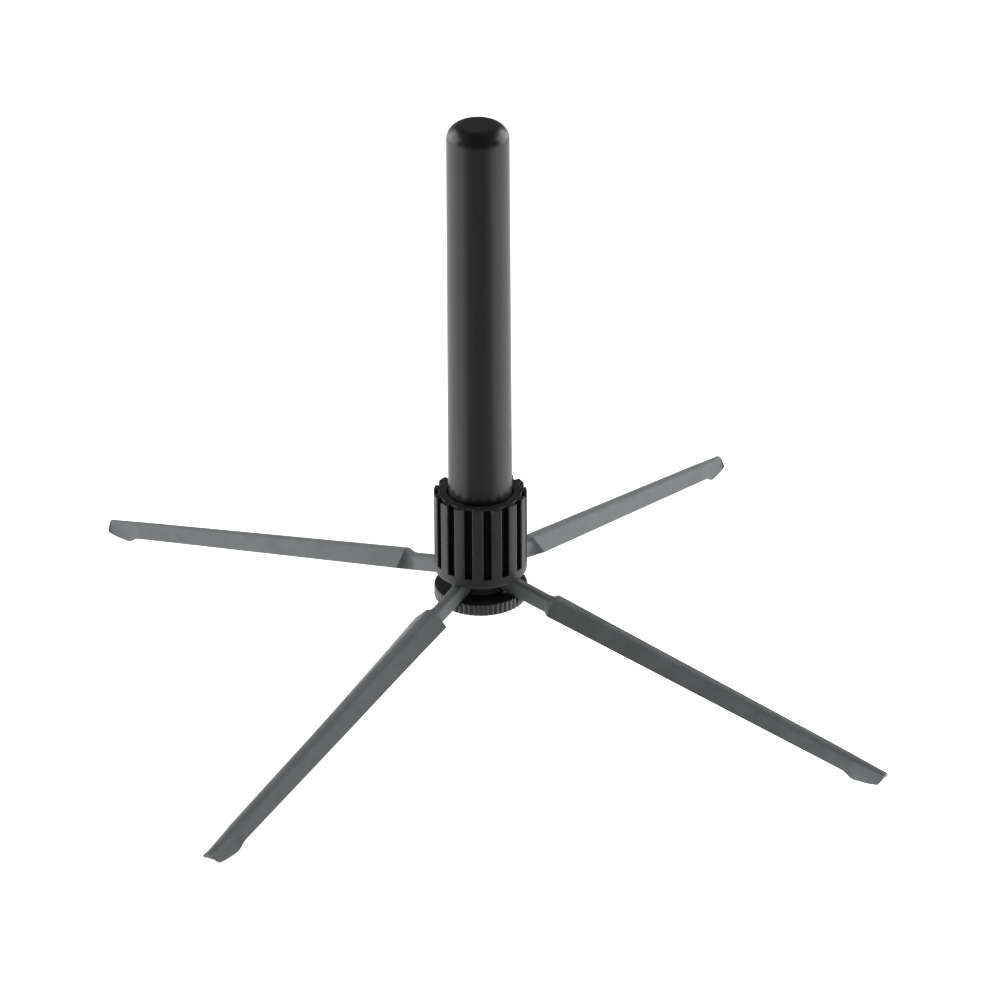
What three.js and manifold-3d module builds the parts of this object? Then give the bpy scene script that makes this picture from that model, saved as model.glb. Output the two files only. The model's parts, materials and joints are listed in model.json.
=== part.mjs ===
// Folding trumpet stand: a hollow peg on a four-legged foot, in millimetres, +Z up.
// The origin is on the ground under the peg's axis, and the legs lie along +X, +Y, -X and -Y.
// The peg and its ribbed collar unscrew and lift off, and the legs then fold up inside the peg.

import * as THREE from 'three';
import { mergeVertices } from 'three/addons/utils/BufferGeometryUtils.js';
import Module from 'manifold-3d';

// ---- Driving dimensions -------------------------------------------------------------------

const RUNNING_GAP = 0.35;          // clearance between neighbouring pieces

const LEG_COUNT = 4;
const LEG_REACH = 181.0;           // axis to the tip of a leg
const TIP_CROWN_HEIGHT = 4.6;      // top of the leg above the ground at its tip
const SHEET = 1.1;                 // leg sheet thickness
const NARROW_WIDTH = 3.9;          // the hinge end of a leg, a narrow upright channel
const NARROW_DEPTH = 6.6;
const NARROW_BEND = 1.3;           // outer bend radius where web and sides meet
const SHOULDER_LENGTH = 4.0;       // over which the channel opens out
const SHOULDER_STEP = 1.7;         // rise of the crown over the shoulder
const STEP_LENGTH = 1.8;           // over which the crown rises
const OPEN_BEND = 2.6;
const CROWN_WIDTH = 3.5;           // top of the open channel, between its bends
const TIP_CROWN_WIDTH = 2.2;
const ANKLE_WIDTH_SHARE = 0.63;    // the channel just before the foot, against the shoulder
const TIP_WIDTH_SHARE = 0.8;       // the foot's tip against the ankle
const FOOT_LENGTH = 11.2;          // heel to tip
const HEEL_LENGTH = 5.6;           // length of the curve from ankle to heel
const TOE_LENGTH = 7.0;            // length over which the sole lifts at the toe
const TOE_LIFT = 0.6;
const TOE_ROUND = 1.0;             // rounded corner of the toe
const TIP_LEAN = 0.35;             // the tip's end face leans back under the crown
const ROOT_OVERLAP = 1.0;          // the open channel starts this far inside the round root

const FOLDED_CROWN_RADIUS = 2.2;   // axis to the crown of a folded leg
const FOLDED_LEG_GAP = 0.3;        // from a folded wing's edge to the plane between two legs
const STOW_GAP = 0.7;              // from a folded wing's edge to the peg's bore
const STOW_CLEARANCE = 10.6;       // above the tips of the folded legs
const SHOULDER_CLEARANCE = 1.1;    // from the core's top to the shoulder of a folded leg

const PIN_RADIUS = 1.25;
const PIN_END_GAP = 1.0;           // from a pin's end to the side of the next pin
const PIN_CHAMFER = 0.3;
const PIN_COVER = 0.25;            // plastic left beyond the ends of the pin holes

const DISC_CLEARANCE = 26.2;       // ground to the underside of the disc
const DISC_THICKNESS = 4.9;
const DISC_OVERHANG = 0.2;         // of the disc beyond the collar
const DISC_RIB_COUNT = 54;
const DISC_RIB_DEPTH = 0.45;
const SEAT_DEPTH = 0.8;            // of the legs' seats in the disc's top
const NECK_FILLET = 1.2;

const CORE_SHARE = 2 / 3;          // core length against collar height
const THREAD_START = 2.4;          // plain neck below the thread
const THREAD_CLEARANCE = 0.2;      // extra play over the thread
const THREAD_CHAMFER = 1.0;

const SCREW_RADIUS = 1.9;
const SCREW_COVER = 4.2;           // core left above the screw's end
const SCREW_CHAMFER = 0.6;
const SCREW_HEAD_RADIUS = 3.8;
const SCREW_HEAD_HEIGHT = 1.7;
const SCREW_HEAD_INSET = 0.1;
const SCREW_HEAD_CHAMFER = 0.6;
const SOCKET_RADIUS = 1.7;
const SOCKET_DEPTH = 1.1;
const WASHER_RADIUS = 5.2;
const WASHER_THICKNESS = 0.9;

const COLLAR_WALL = 4.0;
const COLLAR_HEIGHT = 33.7;
const COLLAR_ROUND = 1.6;          // round of the collar's lower edge
const COLLAR_TOP_CHAMFER = 0.4;
const COLLAR_THROAT_CHAMFER = 2.2;
const GROOVE_COUNT = 15;
const GROOVE_WIDTH = 3.05;
const GROOVE_DEPTH = 2.0;
const GROOVE_STOP = 4.1;           // plain band left under the grooves

const PEG_BASE_RADIUS = 12.4;
const PEG_TAPER = 0.6;             // taken off the radius by the top of the straight side
const PEG_WALL = 1.2;
const PEG_CROWN_WALL = 2.2;
const PEG_CROWN_ROUND = 6.4;
const FLANGE_STEP = 1.25;
const FLANGE_THICKNESS = 2.4;

const ROUND_SEGMENTS = 60;
const MARGIN = 1;                  // how far a cutting tool reaches past the surface it cuts

// ---- Sizes that follow ---------------------------------------------------------------------

const boreRadius = PEG_BASE_RADIUS - PEG_WALL;
const flangeRadius = PEG_BASE_RADIUS + FLANGE_STEP;
const collarBoreRadius = flangeRadius + RUNNING_GAP;
const collarRadius = collarBoreRadius + COLLAR_WALL;
const discRadius = collarRadius + DISC_OVERHANG;
const coreRadius = collarBoreRadius - RUNNING_GAP - THREAD_CLEARANCE;

// The wings of the four folded legs reach for the corners of the quarters of the peg's bore.
const foldedCorner = boreRadius - STOW_GAP;
const halfGap = FOLDED_LEG_GAP / 2;
const foldedEdgeRadius = halfGap + Math.sqrt(foldedCorner ** 2 / 2 - halfGap ** 2);
const wingDepth = foldedEdgeRadius - FOLDED_CROWN_RADIUS;
const wingWidth = 2 * (foldedEdgeRadius - FOLDED_LEG_GAP);
const ankleWidth = ANKLE_WIDTH_SHARE * wingWidth;
const tipWidth = TIP_WIDTH_SHARE * ankleWidth;

const discTop = DISC_CLEARANCE + DISC_THICKNESS;
const seatFloor = discTop - SEAT_DEPTH;
const crownAtRim = seatFloor + RUNNING_GAP + NARROW_DEPTH + SHOULDER_STEP;
const legSlope = (crownAtRim - TIP_CROWN_HEIGHT) / (LEG_REACH - discRadius);
const crownHeight = (x) => TIP_CROWN_HEIGHT + (LEG_REACH - x) * legSlope;
const narrowCrownHeight = (x) => crownHeight(x) - SHOULDER_STEP;

const legTilt = Math.cos(Math.atan(legSlope));
const rootRadius = (NARROW_DEPTH / 2) * legTilt;
const pivotRadius = FOLDED_CROWN_RADIUS + rootRadius + SHOULDER_STEP * legTilt;
const pivotHeight = narrowCrownHeight(pivotRadius) - NARROW_DEPTH / 2;
const legLength = Math.hypot(LEG_REACH - pivotRadius, pivotHeight - TIP_CROWN_HEIGHT);
const slotHalfWidth = NARROW_WIDTH / 2 + RUNNING_GAP;
const slotInnerRadius = pivotRadius - rootRadius - RUNNING_GAP;

const pinLength = 2 * (pivotRadius - PIN_RADIUS - PIN_END_GAP);
const pinHoleRadius = PIN_RADIUS + RUNNING_GAP;
const pinHoleLength = pinLength + 2 * RUNNING_GAP;
const neckRadius = Math.hypot(pivotRadius + pinHoleRadius, pinHoleLength / 2) + PIN_COVER;

const coreLength = CORE_SHARE * COLLAR_HEIGHT;
const coreBottom = pivotHeight + RUNNING_GAP / 2;
const coreTop = coreBottom + coreLength;
const neckTop = pivotHeight - RUNNING_GAP / 2;
const shoulderRadius = pivotRadius + coreLength + SHOULDER_CLEARANCE + SHOULDER_LENGTH;

const collarLipRadius = collarRadius - COLLAR_ROUND;
const collarThroatRadius = collarBoreRadius + COLLAR_THROAT_CHAMFER;
const collarBottom = narrowCrownHeight(collarThroatRadius) + RUNNING_GAP;
const collarTop = collarBottom + COLLAR_HEIGHT;

const pegBottom = coreTop + RUNNING_GAP;
const flangeTop = pegBottom + FLANGE_THICKNESS;
const collarShoulder = flangeTop + RUNNING_GAP;
const pegTop = pivotHeight + legLength + STOW_CLEARANCE + PEG_CROWN_WALL;

const screwHeadBottom = DISC_CLEARANCE + SCREW_HEAD_INSET;
const screwHeadTop = screwHeadBottom + SCREW_HEAD_HEIGHT;
const screwTop = coreTop - SCREW_COVER;
const screwHoleRadius = SCREW_RADIUS + RUNNING_GAP;
const washerBottom = screwHeadTop + RUNNING_GAP;
const headRecessRadius = WASHER_RADIUS + RUNNING_GAP;
const headRecessTop = washerBottom + WASHER_THICKNESS + RUNNING_GAP;

// ---- Materials -----------------------------------------------------------------------------

const blackPlastic = new THREE.MeshStandardMaterial({ color: 0x242627, roughness: 0.45, metalness: 0.0 });
const collarPlastic = new THREE.MeshStandardMaterial({ color: 0x1c1e1f, roughness: 0.5, metalness: 0.0 });
const hubPlastic = new THREE.MeshStandardMaterial({ color: 0x161718, roughness: 0.55, metalness: 0.0 });
const legPaint = new THREE.MeshStandardMaterial({ color: 0x3a3d3f, roughness: 0.42, metalness: 0.3 });
const pinSteel = new THREE.MeshStandardMaterial({ color: 0x9a9c9e, roughness: 0.3, metalness: 1.0 });

// ---- Joining and cutting solids ------------------------------------------------------------

const wasm = await Module();
wasm.setup();

function toSolid(geometry) {
  const bare = geometry.clone();
  bare.deleteAttribute('normal');
  bare.deleteAttribute('uv');
  const merged = mergeVertices(bare, 1e-4);
  const vertProperties = new Float32Array(merged.attributes.position.array);
  const triVerts = new Uint32Array(merged.index.array);
  return new wasm.Manifold(new wasm.Mesh({ numProp: 3, vertProperties, triVerts }));
}

function toGeometry(solid) {
  const mesh = solid.getMesh();
  const geometry = new THREE.BufferGeometry();
  geometry.setAttribute('position', new THREE.BufferAttribute(new Float32Array(mesh.vertProperties), 3));
  geometry.setIndex(new THREE.BufferAttribute(new Uint32Array(mesh.triVerts), 1));
  return geometry;
}

// ---- Shape helpers -------------------------------------------------------------------------

// A solid of revolution about +Z from [radius, height] pairs that go up the outside.
function turned(profile, segments = ROUND_SEGMENTS) {
  const points = profile.map(([r, z]) => new THREE.Vector2(r, z));
  return new THREE.LatheGeometry(points, segments).rotateX(Math.PI / 2);
}

function uprightCylinder(radius, bottom, top, segments = ROUND_SEGMENTS) {
  const height = top - bottom;
  const geometry = new THREE.CylinderGeometry(radius, radius, height, segments);
  return geometry.rotateX(Math.PI / 2).translate(0, 0, (bottom + top) / 2);
}

function box(low, high) {
  const size = high.map((value, i) => value - low[i]);
  const centre = high.map((value, i) => (value + low[i]) / 2);
  return new THREE.BoxGeometry(...size).translate(...centre);
}

// A cylinder along Y, centred on the hinge pin of the leg that lies along +X.
function crossCylinder(radius, length, segments = 28) {
  return new THREE.CylinderGeometry(radius, radius, length, segments).translate(pivotRadius, 0, pivotHeight);
}

function quarterRound(centreR, centreZ, radius, fromDeg, toDeg, steps) {
  return Array.from({ length: steps + 1 }, (_, i) => {
    const angle = THREE.MathUtils.degToRad(fromDeg + ((toDeg - fromDeg) * i) / steps);
    return [centreR + radius * Math.cos(angle), centreZ + radius * Math.sin(angle)];
  });
}

const legAngle = (i) => (i * 2 * Math.PI) / LEG_COUNT;

// The same cut repeated under each leg.
function cutUnderEachLeg(solid, geometry) {
  let result = solid;
  for (let i = 0; i < LEG_COUNT; i += 1) {
    result = result.subtract(toSolid(geometry.clone().rotateZ(legAngle(i))));
  }
  return result;
}

// ---- Leg: one pressed channel, narrow at the hinge, open along its length, with a flat foot ----

const blend = THREE.MathUtils.lerp;
const smooth = (x, start, end) => THREE.MathUtils.smoothstep(x, start, end);

const heelEnd = LEG_REACH - FOOT_LENGTH;
const ankle = heelEnd - HEEL_LENGTH;

// Height of the sole: flat, lifting towards the toe, with a rounded corner at the tip.
function soleHeight(x) {
  const intoToe = Math.max(0, x - (LEG_REACH - TOE_LENGTH));
  const lift = TOE_LIFT * (intoToe / TOE_LENGTH) ** 2;
  const intoCorner = Math.max(0, x - (LEG_REACH - TOE_ROUND));
  return lift + TOE_ROUND - Math.sqrt(TOE_ROUND ** 2 - intoCorner ** 2);
}

// Crown height, lower edge height and half widths of the channel at one distance from the axis.
function channelAt(x) {
  const opened = smooth(x, shoulderRadius - SHOULDER_LENGTH, shoulderRadius);
  const risen = smooth(x, shoulderRadius - STEP_LENGTH, shoulderRadius);
  const along = THREE.MathUtils.clamp((x - shoulderRadius) / (ankle - shoulderRadius), 0, 1);
  const foot = smooth(x, ankle, heelEnd);
  const tip = smooth(x, ankle, LEG_REACH);
  const narrowEdge = narrowCrownHeight(x) - NARROW_DEPTH;
  const wingEdge = crownHeight(x) - wingDepth;
  const wingHalf = blend(wingWidth, ankleWidth, along) / 2;
  const openCrown = blend(CROWN_WIDTH, TIP_CROWN_WIDTH, tip);
  return {
    crown: crownHeight(x) - SHOULDER_STEP * (1 - risen),
    edge: blend(blend(narrowEdge, wingEdge, opened), soleHeight(x), foot),
    crownHalf: blend(NARROW_WIDTH, openCrown, risen) / 2,
    edgeHalf: blend(blend(NARROW_WIDTH / 2, wingHalf, opened), tipWidth / 2, tip),
    bend: blend(NARROW_BEND, OPEN_BEND, risen),
  };
}

const BEND_STEPS = 4;
const WING_BEND_SHARE = 0.6;       // most of a wing's width that a bend may take up
const CROWN_BEND_SHARE = 0.9;      // most of half the crown that a bend may take up

// Half of the outer outline, from the lower edge up round the bend to the crown, with normals.
function halfOutline({ crown, edge, crownHalf, edgeHalf, bend }) {
  const wing = new THREE.Vector2(edgeHalf - crownHalf, edge - crown);
  const turn = Math.atan2(-wing.y, wing.x);
  const setback = Math.min(
    bend * Math.tan(turn / 2),
    WING_BEND_SHARE * wing.length(),
    CROWN_BEND_SHARE * crownHalf,
  );
  const radius = setback / Math.tan(turn / 2);
  const centre = new THREE.Vector2(crownHalf - setback, crown - radius);
  const wingNormal = new THREE.Vector2(Math.sin(turn), Math.cos(turn));
  const points = [{ at: new THREE.Vector2(edgeHalf, edge), normal: wingNormal }];
  for (let i = 0; i <= BEND_STEPS; i += 1) {
    const angle = turn * (1 - i / BEND_STEPS);
    const normal = new THREE.Vector2(Math.sin(angle), Math.cos(angle));
    points.push({ at: centre.clone().addScaledVector(normal, radius), normal });
  }
  return points;
}

// The closed section ring: the outer skin from right to left, then the inner skin back.
function channelRing(x) {
  const section = channelAt(x);
  const half = halfOutline(section);
  const outer = half.map(({ at }) => at);
  const inner = half.map(({ at, normal }) => at.clone().addScaledVector(normal, -SHEET));
  const run = inner[1].clone().sub(inner[0]);
  inner[0].addScaledVector(run, (section.edge - inner[0].y) / run.y);
  const mirrored = (points) => points.map((p) => new THREE.Vector2(-p.x, p.y));
  const ring = [...outer, ...mirrored(outer).reverse(), ...mirrored(inner), ...inner.reverse()];
  const lean = TIP_LEAN * smooth(x, LEG_REACH - TOE_LENGTH, LEG_REACH);
  return ring.map((p) => new THREE.Vector3(x - lean * (section.crown - p.y), p.x, p.y));
}

// Skin a row of matching rings and cap both ends.
function skinned(rings) {
  const count = rings[0].length;
  const positions = rings.flat().flatMap((p) => [p.x, p.y, p.z]);
  const index = [];
  for (let s = 0; s < rings.length - 1; s += 1) {
    for (let i = 0; i < count; i += 1) {
      const a = s * count + i;
      const b = s * count + ((i + 1) % count);
      index.push(a, b, a + count, b, b + count, a + count);
    }
  }
  const cap = (ring) => THREE.ShapeUtils.triangulateShape(ring.map((p) => new THREE.Vector2(p.y, p.z)), []);
  const last = (rings.length - 1) * count;
  cap(rings[0]).forEach(([a, b, c]) => index.push(a, c, b));
  cap(rings[rings.length - 1]).forEach(([a, b, c]) => index.push(last + a, last + b, last + c));
  const geometry = new THREE.BufferGeometry();
  geometry.setAttribute('position', new THREE.Float32BufferAttribute(positions, 3));
  geometry.setIndex(index);
  return geometry;
}

function stations(start, end, steps) {
  return Array.from({ length: steps }, (_, i) => blend(start, end, i / steps));
}

function legGeometry() {
  const rootStart = pivotRadius - rootRadius - ROOT_OVERLAP;
  const shoulderStart = shoulderRadius - SHOULDER_LENGTH;
  const along = [
    ...stations(rootStart, shoulderStart, 1),
    ...stations(shoulderStart, shoulderRadius - STEP_LENGTH, 3),
    ...stations(shoulderRadius - STEP_LENGTH, shoulderRadius, 4),
    ...stations(shoulderRadius, ankle, 2),
    ...stations(ankle, heelEnd, 5),
    ...stations(heelEnd, LEG_REACH - TOE_LENGTH, 1),
    ...stations(LEG_REACH - TOE_LENGTH, LEG_REACH - TOE_ROUND, 2),
    ...stations(LEG_REACH - TOE_ROUND, LEG_REACH, 3),
    LEG_REACH,
  ];
  const channel = toSolid(skinned(along.map(channelRing)));
  const roundRoot = toSolid(crossCylinder(rootRadius, 2 * NARROW_WIDTH));
  const beyond = [LEG_REACH + MARGIN, wingWidth, crownHeight(0)];
  const rest = toSolid(box([pivotRadius, -wingWidth, -MARGIN], beyond));
  const pinHole = toSolid(crossCylinder(pinHoleRadius, 2 * NARROW_WIDTH));
  return toGeometry(channel.intersect(roundRoot.add(rest)).subtract(pinHole));
}

// ---- Hub: disc with its slotted neck, threaded core, pins and the screw that joins them ----

const OUTLINE_POINTS_PER_RIB = 3;

function ribbedDisc() {
  const count = DISC_RIB_COUNT * OUTLINE_POINTS_PER_RIB;
  const outline = Array.from({ length: count }, (_, i) => {
    const angle = (2 * Math.PI * i) / count;
    const inValley = i % OUTLINE_POINTS_PER_RIB === 0;
    const radius = inValley ? discRadius - DISC_RIB_DEPTH : discRadius;
    return new THREE.Vector2(radius * Math.cos(angle), radius * Math.sin(angle));
  });
  const options = { depth: DISC_THICKNESS, bevelEnabled: false };
  const plate = new THREE.ExtrudeGeometry(new THREE.Shape(outline), options);
  return plate.translate(0, 0, DISC_CLEARANCE);
}

function legSlot(bottom, top) {
  return box([slotInnerRadius, -slotHalfWidth, bottom], [discRadius + MARGIN, slotHalfWidth, top]);
}

function discGeometry() {
  const neck = turned([
    [0, DISC_CLEARANCE + MARGIN],
    [neckRadius + NECK_FILLET, DISC_CLEARANCE + MARGIN],
    [neckRadius + NECK_FILLET, discTop],
    ...quarterRound(neckRadius + NECK_FILLET, discTop + NECK_FILLET, NECK_FILLET, 270, 180, 3).slice(1),
    [neckRadius, neckTop],
    [0, neckTop],
  ]);
  const screwHole = uprightCylinder(screwHoleRadius, DISC_CLEARANCE - MARGIN, neckTop + MARGIN, 24);
  const headRecess = uprightCylinder(headRecessRadius, DISC_CLEARANCE - MARGIN, headRecessTop, 40);
  let solid = toSolid(ribbedDisc()).add(toSolid(neck));
  solid = cutUnderEachLeg(solid, legSlot(seatFloor, neckTop + MARGIN));
  solid = cutUnderEachLeg(solid, crossCylinder(pinHoleRadius, pinHoleLength));
  return toGeometry(solid.subtract(toSolid(screwHole)).subtract(toSolid(headRecess)));
}

function coreGeometry() {
  const threadBottom = coreBottom + THREAD_START;
  const body = turned([
    [0, coreBottom],
    [neckRadius, coreBottom],
    [neckRadius, threadBottom],
    [coreRadius - THREAD_CHAMFER, threadBottom],
    [coreRadius, threadBottom + THREAD_CHAMFER],
    [coreRadius, coreTop - THREAD_CHAMFER],
    [coreRadius - THREAD_CHAMFER, coreTop],
    [0, coreTop],
  ]);
  const screwHole = uprightCylinder(screwHoleRadius, coreBottom - MARGIN, screwTop + RUNNING_GAP, 24);
  let solid = cutUnderEachLeg(toSolid(body), legSlot(coreBottom - MARGIN, coreTop + MARGIN));
  solid = cutUnderEachLeg(solid, crossCylinder(pinHoleRadius, pinHoleLength));
  return toGeometry(solid.subtract(toSolid(screwHole)));
}

function screwGeometry() {
  const body = turned([
    [0, screwHeadBottom],
    [SCREW_HEAD_RADIUS - SCREW_HEAD_CHAMFER, screwHeadBottom],
    [SCREW_HEAD_RADIUS, screwHeadBottom + SCREW_HEAD_CHAMFER],
    [SCREW_HEAD_RADIUS, screwHeadTop],
    [SCREW_RADIUS, screwHeadTop],
    [SCREW_RADIUS, screwTop - SCREW_CHAMFER],
    [SCREW_RADIUS - SCREW_CHAMFER, screwTop],
    [0, screwTop],
  ], 32);
  const socket = uprightCylinder(SOCKET_RADIUS, screwHeadBottom - MARGIN, screwHeadBottom + SOCKET_DEPTH, 6);
  return toGeometry(toSolid(body).subtract(toSolid(socket)));
}

function washerGeometry() {
  const top = washerBottom + WASHER_THICKNESS;
  return turned([
    [screwHoleRadius, washerBottom],
    [WASHER_RADIUS, washerBottom],
    [WASHER_RADIUS, top],
    [screwHoleRadius, top],
    [screwHoleRadius, washerBottom],
  ], 36);
}

function pinGeometry() {
  const half = pinLength / 2;
  const profile = [
    [0, -half],
    [PIN_RADIUS - PIN_CHAMFER, -half],
    [PIN_RADIUS, PIN_CHAMFER - half],
    [PIN_RADIUS, half - PIN_CHAMFER],
    [PIN_RADIUS - PIN_CHAMFER, half],
    [0, half],
  ].map(([r, y]) => new THREE.Vector2(r, y));
  return new THREE.LatheGeometry(profile, 24).translate(pivotRadius, 0, pivotHeight);
}

// ---- Collar: ribbed union nut that turns on the peg's flange ---------------------------------

function collarGeometry() {
  const pegHoleRadius = PEG_BASE_RADIUS + RUNNING_GAP;
  const body = turned([
    [collarThroatRadius, collarBottom],
    ...quarterRound(collarLipRadius, collarBottom + COLLAR_ROUND, COLLAR_ROUND, -90, 0, 5),
    [collarRadius, collarTop - COLLAR_TOP_CHAMFER],
    [collarRadius - COLLAR_TOP_CHAMFER, collarTop],
    [pegHoleRadius, collarTop],
    [pegHoleRadius, collarShoulder],
    [collarBoreRadius, collarShoulder],
    [collarBoreRadius, collarBottom + COLLAR_THROAT_CHAMFER],
    [collarThroatRadius, collarBottom],
  ]);
  const grooveLow = [collarRadius - GROOVE_DEPTH, -GROOVE_WIDTH / 2, collarBottom + GROOVE_STOP];
  const grooveHigh = [collarRadius + MARGIN, GROOVE_WIDTH / 2, collarTop + MARGIN];
  const groove = box(grooveLow, grooveHigh);
  let solid = toSolid(body);
  for (let i = 0; i < GROOVE_COUNT; i += 1) {
    const angle = (i * 2 * Math.PI) / GROOVE_COUNT;
    solid = solid.subtract(toSolid(groove.clone().rotateZ(angle)));
  }
  return toGeometry(solid);
}

// ---- Peg: tapered tube, closed and rounded on top, with a flange that the collar holds ----------

function pegGeometry() {
  const topRadius = PEG_BASE_RADIUS - PEG_TAPER;
  const roundBase = pegTop - PEG_CROWN_ROUND;
  const innerTop = topRadius - PEG_WALL;
  const innerRound = PEG_CROWN_ROUND - PEG_CROWN_WALL;
  const outside = turned([
    [0, pegBottom],
    [flangeRadius, pegBottom],
    [flangeRadius, flangeTop],
    [PEG_BASE_RADIUS, flangeTop],
    ...quarterRound(topRadius - PEG_CROWN_ROUND, roundBase, PEG_CROWN_ROUND, 0, 90, 7),
    [0, pegTop],
  ]);
  const inside = turned([
    [0, pegBottom - MARGIN],
    [boreRadius, pegBottom - MARGIN],
    [boreRadius, pegBottom],
    ...quarterRound(innerTop - innerRound, roundBase, innerRound, 0, 90, 5),
    [0, roundBase + innerRound],
  ]);
  return toGeometry(toSolid(outside).subtract(toSolid(inside)));
}

// ---- Assembly --------------------------------------------------------------------------------

const stand = new THREE.Group();

function place(name, geometry, material, angle = 0) {
  const mesh = new THREE.Mesh(geometry, material);
  mesh.name = name;
  mesh.rotation.z = angle;
  stand.add(mesh);
}

place('peg_tube', pegGeometry(), blackPlastic);
place('ribbed_collar', collarGeometry(), collarPlastic);
place('threaded_core', coreGeometry(), hubPlastic);
place('base_disc', discGeometry(), hubPlastic);
place('centre_screw', screwGeometry(), pinSteel);
place('screw_washer', washerGeometry(), pinSteel);

const leg = legGeometry();
const pin = pinGeometry();
for (let i = 0; i < LEG_COUNT; i += 1) {
  place(`leg_${i + 1}`, leg, legPaint, legAngle(i));
  place(`hinge_pin_${i + 1}`, pin, pinSteel, legAngle(i));
}

export default stand;
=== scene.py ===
# %% [markdown]
# # A folding trumpet stand
# The stand is a hollow peg that goes into the bell, a ribbed collar that screws the peg down,
# a disc under the legs, and four pressed steel legs that fold up inside the peg. The packed
# model gives every piece its place and size. This script works out the smooth surface of each
# piece with numpy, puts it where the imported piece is, and gives it a finish.

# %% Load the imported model
import json
import math

import bpy
import numpy as np
from mathutils import Matrix, Vector


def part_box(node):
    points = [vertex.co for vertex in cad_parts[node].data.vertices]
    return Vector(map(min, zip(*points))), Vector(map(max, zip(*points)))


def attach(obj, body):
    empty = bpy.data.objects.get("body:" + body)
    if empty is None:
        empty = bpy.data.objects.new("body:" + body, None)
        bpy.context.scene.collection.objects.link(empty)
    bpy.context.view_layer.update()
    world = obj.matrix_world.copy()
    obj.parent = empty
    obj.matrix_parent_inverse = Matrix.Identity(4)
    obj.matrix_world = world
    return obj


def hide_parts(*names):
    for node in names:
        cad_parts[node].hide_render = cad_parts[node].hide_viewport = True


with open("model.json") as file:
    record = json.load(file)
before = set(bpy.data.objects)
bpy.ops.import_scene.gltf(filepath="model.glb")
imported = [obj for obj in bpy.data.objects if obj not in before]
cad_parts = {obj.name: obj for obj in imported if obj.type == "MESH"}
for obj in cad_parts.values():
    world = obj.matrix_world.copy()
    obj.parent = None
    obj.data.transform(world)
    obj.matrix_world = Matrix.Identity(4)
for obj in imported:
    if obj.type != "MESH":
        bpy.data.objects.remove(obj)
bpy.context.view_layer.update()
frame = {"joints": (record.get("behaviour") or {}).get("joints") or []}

# %% [markdown]
# ## Sizes read from the model
# A piece is easiest to fit when its numbers come from the piece that it stands for. The boxes
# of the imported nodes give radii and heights, and the joints give each leg's hinge. What a box
# can't tell, such as a sheet's thickness or a bevel, is a named value in millimetres.

# %% Read the boxes and the hinges
MM = 0.001
GAP = 0.35 * MM
TURN = 2 * math.pi


def low(node):
    return np.array(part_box(node)[0])


def high(node):
    return np.array(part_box(node)[1])


HINGES = {j["child"]: np.array(j["pos_m"]) for j in frame["joints"] if j["name"].startswith("leg_fold")}
PIVOT_RADIUS, _, PIVOT_HEIGHT = HINGES["folding_leg_1"]
LEGS = [f"leg_{i + 1}" for i in range(len(HINGES))]
LEG_REACH = high("leg_1")[0]
print("hinge", PIVOT_RADIUS, PIVOT_HEIGHT, "reach", LEG_REACH, "legs", LEGS)

# %% [markdown]
# ## Helpers for surfaces
# Nearly every piece here is a row of matching outlines with a skin between them. A turned
# piece is a row of circles, a leg is a row of channel sections, and the collar is a row of
# ribbed rings. One helper makes the skin, and the pieces only have to give their outlines.
# A second helper rounds the corners of a drawn profile, because no moulded or pressed edge is
# perfectly sharp, and it is the rounded edges that catch the light.

# %% Skin a row of outlines
def grid_faces(rows, columns, closed_path):
    """Quads between neighbouring outlines: (r, c), (r, c+1), (r+1, c+1), (r+1, c), wrapped in c."""
    r, c = np.meshgrid(np.arange(rows if closed_path else rows - 1), np.arange(columns), indexing="ij")
    next_r, next_c = (r + 1) % rows, (c + 1) % columns
    quads = [r * columns + c, r * columns + next_c, next_r * columns + next_c, next_r * columns + c]
    return np.stack(quads, axis=-1).reshape(-1, 4)


def signed_volume(points, quads):
    """The sum of a . (b x c) / 6 over the triangles, which is positive when the faces point out."""
    a, b, c, d = (points[quads[:, k]] for k in range(4))
    return (np.einsum("ij,ij->i", a, np.cross(b, c)) + np.einsum("ij,ij->i", a, np.cross(c, d))).sum() / 6


def skin(rings, closed_path=False, fans=True):
    """Points and faces of a closed skin over rings, an array (rows, columns, 3) of closed outlines.

    Open ends are closed with a fan of triangles about the middle of the end outline, or, for an
    outline that isn't convex, with one face.
    """
    rows, columns, _ = rings.shape
    points = rings.reshape(-1, 3)
    quads = grid_faces(rows, columns, closed_path)
    flip = signed_volume(points - points.mean(axis=0), quads) < 0
    faces = quads[:, ::-1].tolist() if flip else quads.tolist()
    if closed_path:
        return points, faces
    first, last = np.arange(columns), (rows - 1) * columns + np.arange(columns)
    for ring, backwards in ((first, not flip), (last, flip)):
        order = ring[::-1] if backwards else ring
        if fans:
            centre = len(points)
            points = np.vstack([points, points[ring].mean(axis=0)])
            fan = np.column_stack([order, np.roll(order, -1), np.full(columns, centre)])
            faces += fan.tolist()
        else:
            faces.append(order.tolist())
    return points, faces


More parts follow.
